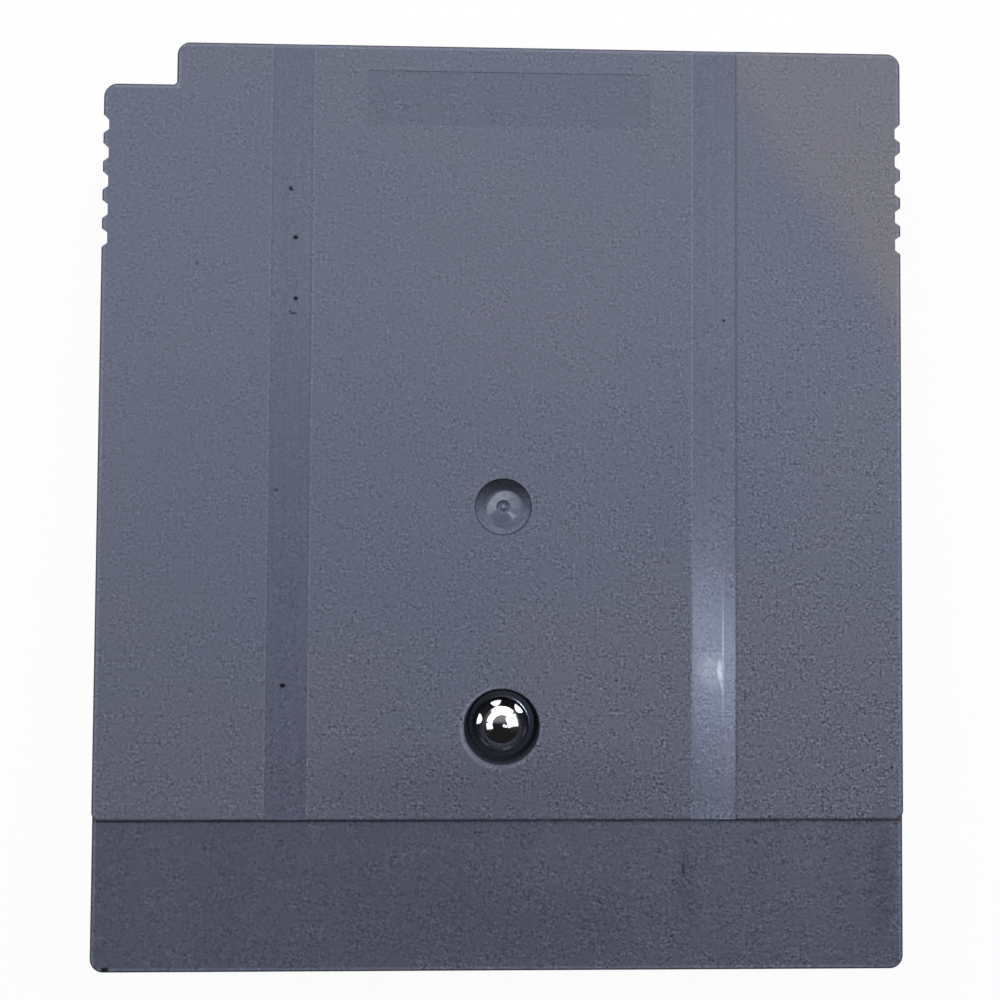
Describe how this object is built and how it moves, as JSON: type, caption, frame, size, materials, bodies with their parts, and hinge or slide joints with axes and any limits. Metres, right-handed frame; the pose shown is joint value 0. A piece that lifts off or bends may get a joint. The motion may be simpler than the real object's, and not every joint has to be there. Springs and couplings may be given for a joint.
{
  "type": "game cartridge",
  "caption": "Flat game cartridge: a two-piece moulded shell with a corner notch, side grips, a stepped connector end and a security screw, round a circuit board.",
  "frame": {"origin": "middle of the front face's outline, on the plane that the cartridge lies on", "axes": "+X across the width, to the right in the picture; +Y from the connector mouth to the gripped end; +Z out of the rear face"},
  "size_m": [0.057, 0.0654, 0.0078],
  "materials": {
    "shell_plastic": "spark-textured",
    "screw_steel": "black-plated",
    "label_paper": "satin",
    "board_laminate": "gloss",
    "contact_gold": "polished",
    "solder_tin": "satin",
    "chip_epoxy": "matte",
    "lead_tin": "satin",
    "cell_steel": "satin",
    "tab_nickel": "satin",
    "capacitor_ceramic": "matte",
    "resistor_glaze": "gloss",
    "diode_glass": "gloss"
  },
  "bodies": {
    "root": {"rear_shell": "shell_plastic", "front_shell": "shell_plastic", "shell_screw": "screw_steel", "front_label": "label_paper", "circuit_board": "board_laminate", "edge_contacts": "contact_gold", "solder_lands": "solder_tin", "rom_chip": "chip_epoxy", "rom_leads": "lead_tin", "save_memory_chip": "chip_epoxy", "save_memory_leads": "lead_tin", "bank_controller_chip": "chip_epoxy", "bank_controller_leads": "lead_tin", "power_monitor_chip": "chip_epoxy", "power_monitor_leads": "lead_tin", "backup_cell": "cell_steel", "cell_positive_tab": "tab_nickel", "cell_negative_tab": "tab_nickel", "rom_capacitor": "capacitor_ceramic", "memory_capacitor": "capacitor_ceramic", "controller_capacitor": "capacitor_ceramic", "supply_capacitor": "capacitor_ceramic", "capacitor_terminals": "lead_tin", "reset_resistor": "resistor_glaze", "select_resistor": "resistor_glaze", "sense_resistor": "resistor_glaze", "cell_resistor": "resistor_glaze", "resistor_terminals": "lead_tin", "steering_diode": "diode_glass", "diode_terminals": "lead_tin"}
  },
  "joints": []
}
